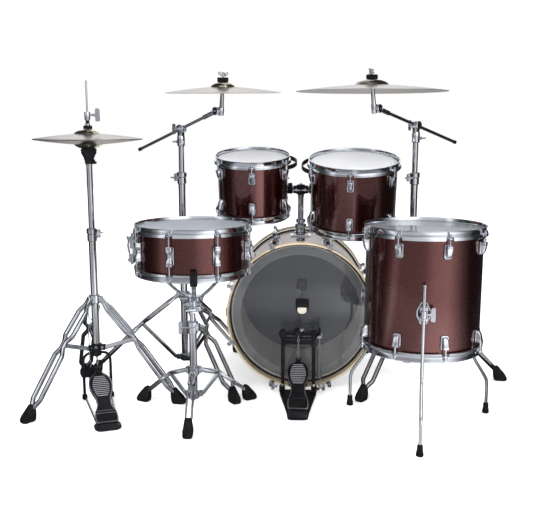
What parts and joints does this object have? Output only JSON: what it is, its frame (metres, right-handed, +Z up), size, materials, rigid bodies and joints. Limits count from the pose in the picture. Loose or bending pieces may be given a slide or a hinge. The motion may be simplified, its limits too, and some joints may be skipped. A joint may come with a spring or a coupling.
{
  "type": "acoustic drum kit",
  "caption": "Acoustic drum kit: bass drum with pedal, two rack toms, floor tom, snare on its stand, hi-hat stand and two boom cymbal stands, all adjustable.",
  "frame": {"origin": "on the floor, under the middle of the whole kit's box", "axes": "+Z up; +Y from the player towards the audience, along the bass drum's axis; +X to the player's right"},
  "size_m": [1.6422, 1.1146, 1.1279],
  "materials": {
    "lacquer": "dark reddish-brown gloss lacquer over maple plies",
    "chrome": "polished chrome plate",
    "maple": "natural maple, satin lacquer",
    "clear_film": "clear polyester film",
    "coated_film": "white coated polyester film",
    "dark_film": "dark polyester film",
    "bronze": "lathed and brushed cymbal bronze",
    "black_steel": "black powder coat",
    "rubber": "moulded black rubber",
    "felt": "pressed wool felt"
  },
  "bodies": {
    "root": {"bass_shell": "lacquer", "bass_batter_hoop": "maple", "bass_front_hoop": "maple", "bass_batter_head": "clear_film", "bass_front_head": "dark_film", "tom_mount_base": "chrome", "floor_tom_shell": "lacquer", "floor_tom_top_hoop": "chrome", "floor_tom_bottom_hoop": "chrome", "floor_tom_batter_head": "clear_film", "floor_tom_bottom_head": "clear_film", "snare_stand_tripod": "chrome", "hihat_tripod": "chrome", "hihat_pedal_frame": "black_steel", "left_stand_tripod": "chrome", "right_stand_tripod": "chrome", "bass_pedal_frame": "black_steel", "bass_pedal_spring": "chrome"},
    "spur_left": {"bass_spur_left": "chrome"},
    "spur_right": {"bass_spur_right": "chrome"},
    "tom_post": {"tom_post": "chrome"},
    "tom1": {"tom1_shell": "lacquer", "tom1_top_hoop": "chrome", "tom1_bottom_hoop": "chrome", "tom1_batter_head": "coated_film", "tom1_bottom_head": "clear_film", "tom1_holder": "chrome"},
    "tom2": {"tom2_shell": "lacquer", "tom2_top_hoop": "chrome", "tom2_bottom_hoop": "chrome", "tom2_batter_head": "coated_film", "tom2_bottom_head": "clear_film", "tom2_holder": "chrome"},
    "floor_leg_1": {"floor_tom_leg_1": "chrome"},
    "floor_leg_2": {"floor_tom_leg_2": "chrome"},
    "floor_leg_3": {"floor_tom_leg_3": "chrome"},
    "snare_height": {"snare_stand_upper_tube": "chrome"},
    "snare": {"snare_basket": "chrome", "snare_shell": "lacquer", "snare_batter_hoop": "chrome", "snare_side_hoop": "chrome", "snare_batter_head": "coated_film", "snare_side_head": "clear_film"},
    "snare_lever": {"snare_lever": "chrome"},
    "hihat_height": {"hihat_upper_tube": "chrome", "hihat_bottom_cymbal": "bronze"},
    "hihat_rod": {"hihat_rod": "chrome", "hihat_clutch": "chrome", "hihat_top_cymbal": "bronze"},
    "hihat_pedal": {"hihat_footboard": "black_steel"},
    "bass_beater": {"bass_pedal_beater": "chrome"},
    "bass_footboard": {"bass_pedal_footboard": "black_steel"},
    "left_height": {"left_stand_mid_tube": "chrome"},
    "left_boom": {"left_boom_arm": "chrome"},
    "left_tilter": {"left_tilter": "chrome"},
    "left_cymbal": {"left_cymbal": "bronze"},
    "right_height": {"right_stand_mid_tube": "chrome"},
    "right_boom": {"right_boom_arm": "chrome"},
    "right_tilter": {"right_tilter": "chrome"},
    "right_cymbal": {"right_cymbal": "bronze"}
  },
  "joints": [
    {"name": "spur_left_fold", "type": "hinge", "parent": "root", "child": "spur_left", "pos_m": [-0.2109, 0.41133, 0.19], "axis": [1, 0, 0], "range_deg": [0, 72]},
    {"name": "spur_right_fold", "type": "hinge", "parent": "root", "child": "spur_right", "pos_m": [0.3291, 0.41133, 0.19], "axis": [1, 0, 0], "range_deg": [0, 72]},
    {"name": "tom_post_height", "type": "slide", "parent": "root", "child": "tom_post", "axis": [0, 0, 1], "range_m": [0, 0.04]},
    {"name": "tom1_tilt", "type": "hinge", "parent": "tom_post", "child": "tom1", "pos_m": [0.0157, 0.31833, 0.7], "axis": [1, 0, 0], "range_deg": [-8, 5]},
    {"name": "tom2_tilt", "type": "hinge", "parent": "tom_post", "child": "tom2", "pos_m": [0.0985, 0.31833, 0.7], "axis": [1, 0, 0], "range_deg": [-8, 4]},
    {"name": "floor_leg_1_slide", "type": "slide", "parent": "root", "child": "floor_leg_1", "axis": [0, 0, 1], "range_m": [-0.05, 0.04]},
    {"name": "floor_leg_2_slide", "type": "slide", "parent": "root", "child": "floor_leg_2", "axis": [0, 0, 1], "range_m": [-0.05, 0.04]},
    {"name": "floor_leg_3_slide", "type": "slide", "parent": "root", "child": "floor_leg_3", "axis": [0, 0, 1], "range_m": [-0.05, 0.04]},
    {"name": "snare_stand_height", "type": "slide", "parent": "root", "child": "snare_height", "axis": [0, 0, 1], "range_m": [-0.008, 0.1]},
    {"name": "snare_tilt", "type": "hinge", "parent": "snare_height", "child": "snare", "pos_m": [-0.2956, -0.20837, 0.366], "axis": [0.9965, 0.0837, 0], "range_deg": [-8, 10]},
    {"name": "snare_lever_throw", "type": "hinge", "parent": "snare", "child": "snare_lever", "pos_m": [-0.4931, -0.22007, 0.515], "axis": [0, -1, 0], "range_deg": [0, 70]},
    {"name": "hihat_height", "type": "slide", "parent": "root", "child": "hihat_height", "axis": [0, 0, 1], "range_m": [-0.1, 0]},
    {"name": "hihat_rod_slide", "type": "slide", "parent": "root", "child": "hihat_rod", "axis": [0, 0, 1], "range_m": [0, 0.035], "stiffness_N_per_m": 60, "springref_m": 0.1},
    {"name": "hihat_pedal_hinge", "type": "hinge", "parent": "root", "child": "hihat_pedal", "pos_m": [-0.5672, -0.3208, 0.027], "axis": [0.9367, 0.3502, 0], "range_deg": [0, 10.5]},
    {"name": "bass_beater_swing", "type": "hinge", "parent": "root", "child": "bass_beater", "pos_m": [0.0521, -0.00967, 0.215], "axis": [-1, 0, 0], "range_deg": [0, 56], "stiffness_Nm_per_rad": 1.2, "springref_deg": -17.19, "deforming": ["bass_pedal_spring"]},
    {"name": "bass_footboard_hinge", "type": "hinge", "parent": "root", "child": "bass_footboard", "pos_m": [0.0521, -0.26767, 0.036], "axis": [-1, 0, 0], "range_deg": [0, 6]},
    {"name": "left_stand_height", "type": "slide", "parent": "root", "child": "left_height", "axis": [0, 0, 1], "range_m": [-0.05, 0.12]},
    {"name": "left_boom_tilt", "type": "hinge", "parent": "left_height", "child": "left_boom", "pos_m": [-0.3816, 0.17923, 0.93], "axis": [-0.5011, -0.8654, 0], "range_deg": [-8, 10]},
    {"name": "left_tilter_tilt", "type": "hinge", "parent": "left_boom", "child": "left_tilter", "pos_m": [-0.2419, 0.09833, 0.992], "axis": [-0.5011, -0.8654, 0], "range_deg": [-10, 10]},
    {"name": "left_cymbal_rock", "type": "hinge", "parent": "left_tilter", "child": "left_cymbal", "pos_m": [-0.2169, 0.08333, 1.091], "axis": [1, 0, 0], "range_deg": [-5, 5], "stiffness_Nm_per_rad": 1},
    {"name": "right_stand_height", "type": "slide", "parent": "root", "child": "right_height", "axis": [0, 0, 1], "range_m": [-0.05, 0.12]},
    {"name": "right_boom_tilt", "type": "hinge", "parent": "right_height", "child": "right_boom", "pos_m": [0.4707, 0.19043, 0.943], "axis": [-0.7176, 0.6964, 0], "range_deg": [-8, 10]},
    {"name": "right_tilter_tilt", "type": "hinge", "parent": "right_boom", "child": "right_tilter", "pos_m": [0.3165, 0.03153, 0.999], "axis": [-0.7176, 0.6964, 0], "range_deg": [-10, 10]},
    {"name": "right_cymbal_rock", "type": "hinge", "parent": "right_tilter", "child": "right_cymbal", "pos_m": [0.2911, -0.00167, 1.094], "axis": [1, 0, 0], "range_deg": [-5, 5], "stiffness_Nm_per_rad": 1}
  ],
  "couplings": [
    {"joint": "hihat_pedal_hinge", "follows": "hihat_rod_slide", "rad_per_m": 5.08},
    {"joint": "bass_footboard_hinge", "follows": "bass_beater_swing", "ratio": 0.1}
  ]
}
